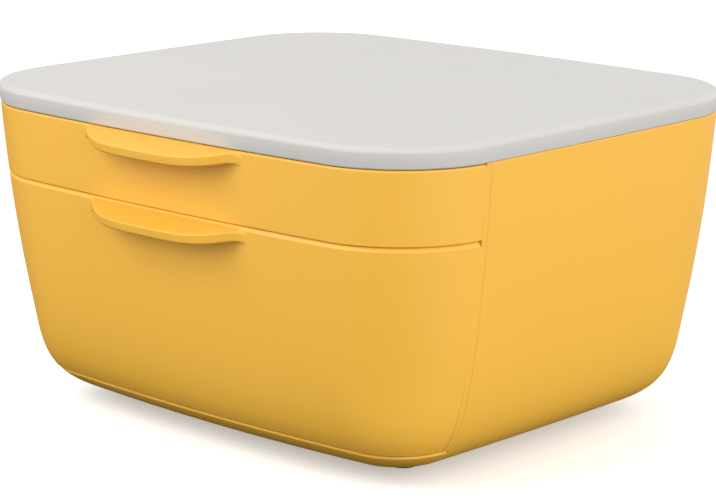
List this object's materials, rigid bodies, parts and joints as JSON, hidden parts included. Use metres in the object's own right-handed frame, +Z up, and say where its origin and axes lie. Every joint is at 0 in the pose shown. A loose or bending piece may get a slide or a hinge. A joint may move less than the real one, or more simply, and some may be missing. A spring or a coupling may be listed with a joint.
{
  "type": "desktop drawer unit",
  "caption": "Low desktop drawer unit in moulded plastic: tapered rounded tub, flat lid, a shallow and a deep drawer with lip handles.",
  "frame": {"origin": "middle of the whole unit's footprint, handle lips included, on the surface that the feet rest on", "axes": "+X to the right as seen from the front, -Y is the front that the drawers open towards, +Z up"},
  "size_m": [0.37, 0.3369, 0.1987],
  "materials": {
    "shell_yellow": "satin moulded plastic, fine texture",
    "tray_yellow": "satin moulded plastic",
    "lid_grey": "matte moulded plastic, fine texture",
    "runner_plastic": "smooth bearing plastic",
    "foot_rubber": "matte rubber",
    "screw_steel": "zinc plated"
  },
  "bodies": {
    "case": {"case_shell": "shell_yellow", "guide_panel_left": "shell_yellow", "guide_panel_right": "shell_yellow", "upper_runner_left": "runner_plastic", "upper_runner_right": "runner_plastic", "lower_runner_left": "runner_plastic", "lower_runner_right": "runner_plastic", "divider_shelf": "tray_yellow", "lid": "lid_grey", "foot_front_left": "foot_rubber", "foot_front_right": "foot_rubber", "foot_rear_left": "foot_rubber", "foot_rear_right": "foot_rubber", "guide_panel_screws": "screw_steel", "divider_screws": "screw_steel", "lid_screws": "screw_steel"},
    "upper_drawer": {"upper_drawer_front": "shell_yellow", "upper_drawer_tray": "tray_yellow", "upper_drawer_stop_left": "runner_plastic", "upper_drawer_stop_right": "runner_plastic", "upper_drawer_screws": "screw_steel"},
    "lower_drawer": {"lower_drawer_front": "shell_yellow", "lower_drawer_tray": "tray_yellow", "lower_drawer_stop_left": "runner_plastic", "lower_drawer_stop_right": "runner_plastic", "lower_drawer_screws": "screw_steel"}
  },
  "joints": [
    {"name": "upper_drawer_slide", "type": "slide", "parent": "case", "child": "upper_drawer", "axis": [0, -1, 0], "range_m": [0, 0.208]},
    {"name": "lower_drawer_slide", "type": "slide", "parent": "case", "child": "lower_drawer", "axis": [0, -1, 0], "range_m": [0, 0.2]}
  ]
}
